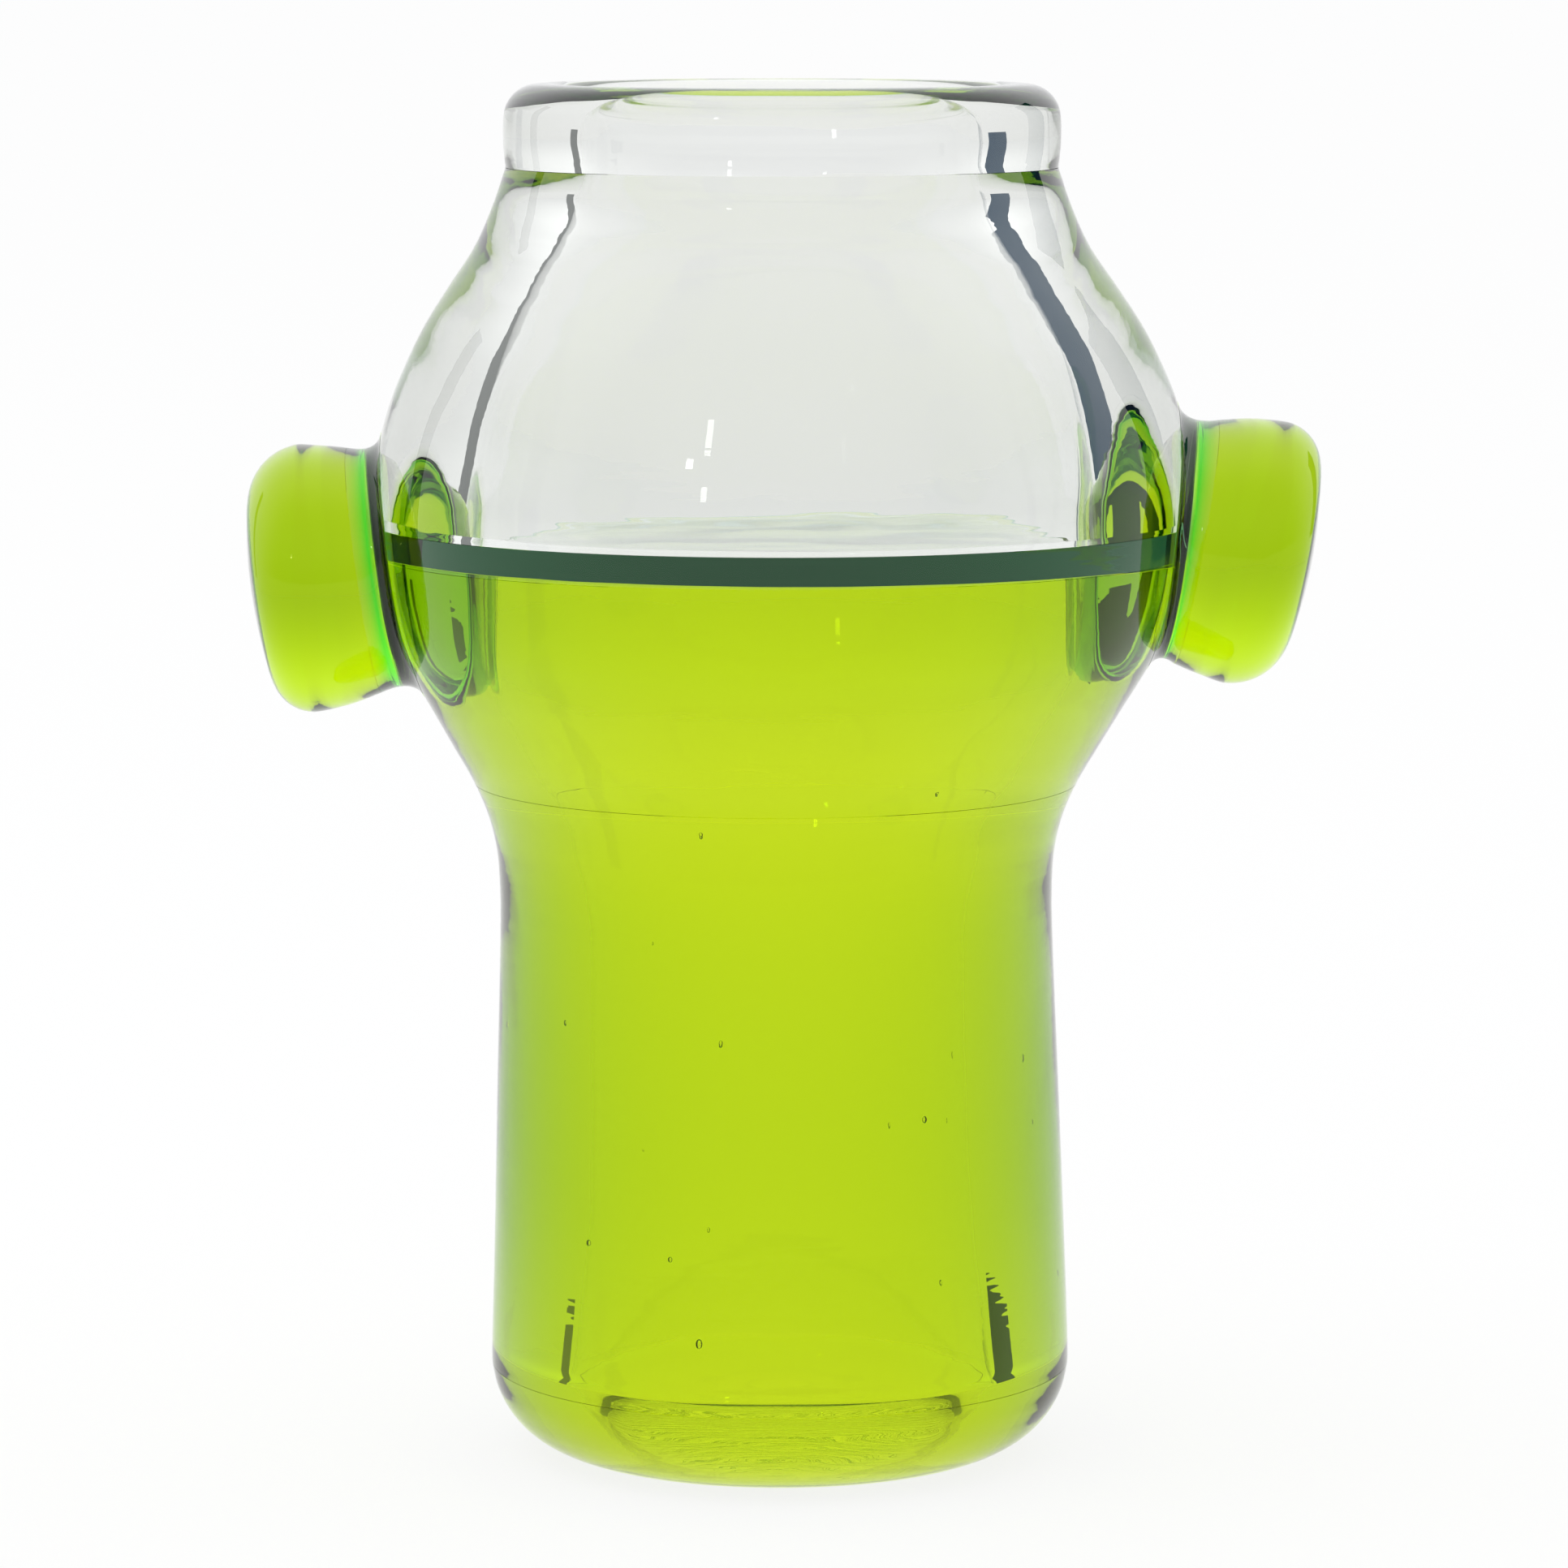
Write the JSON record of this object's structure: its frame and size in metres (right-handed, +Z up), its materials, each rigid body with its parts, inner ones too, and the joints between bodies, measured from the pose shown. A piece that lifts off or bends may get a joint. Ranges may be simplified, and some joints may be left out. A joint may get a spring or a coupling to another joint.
{
  "type": "lugged glass vessel",
  "caption": "Thick-walled upright glass vessel: a clear cup on a hollow lime green stem, with a dark disc between and a drooping round button welded to each side.",
  "frame": {"origin": "middle of the ground foot, on the surface that the vessel stands on", "axes": "+Z up along the vessel's axis, the two buttons along X, the lower button on -X"},
  "size_m": [0.0623, 0.0476, 0.08],
  "materials": {
    "clear_glass": "fire-polished clear glass",
    "seam_glass": "dark teal glass disc, seen edge on",
    "lime_glass": "fire-polished lime green glass with fine seeds",
    "collar_glass": "fire-polished deep green glass"
  },
  "bodies": {
    "root": {"mouth_lip": "clear_glass", "clear_cup": "clear_glass", "seam_disc": "seam_glass", "green_belly": "lime_glass", "green_stem": "lime_glass", "base_plug": "lime_glass", "left_button": "lime_glass", "left_collar": "collar_glass", "right_button": "lime_glass", "right_collar": "collar_glass"}
  },
  "joints": []
}
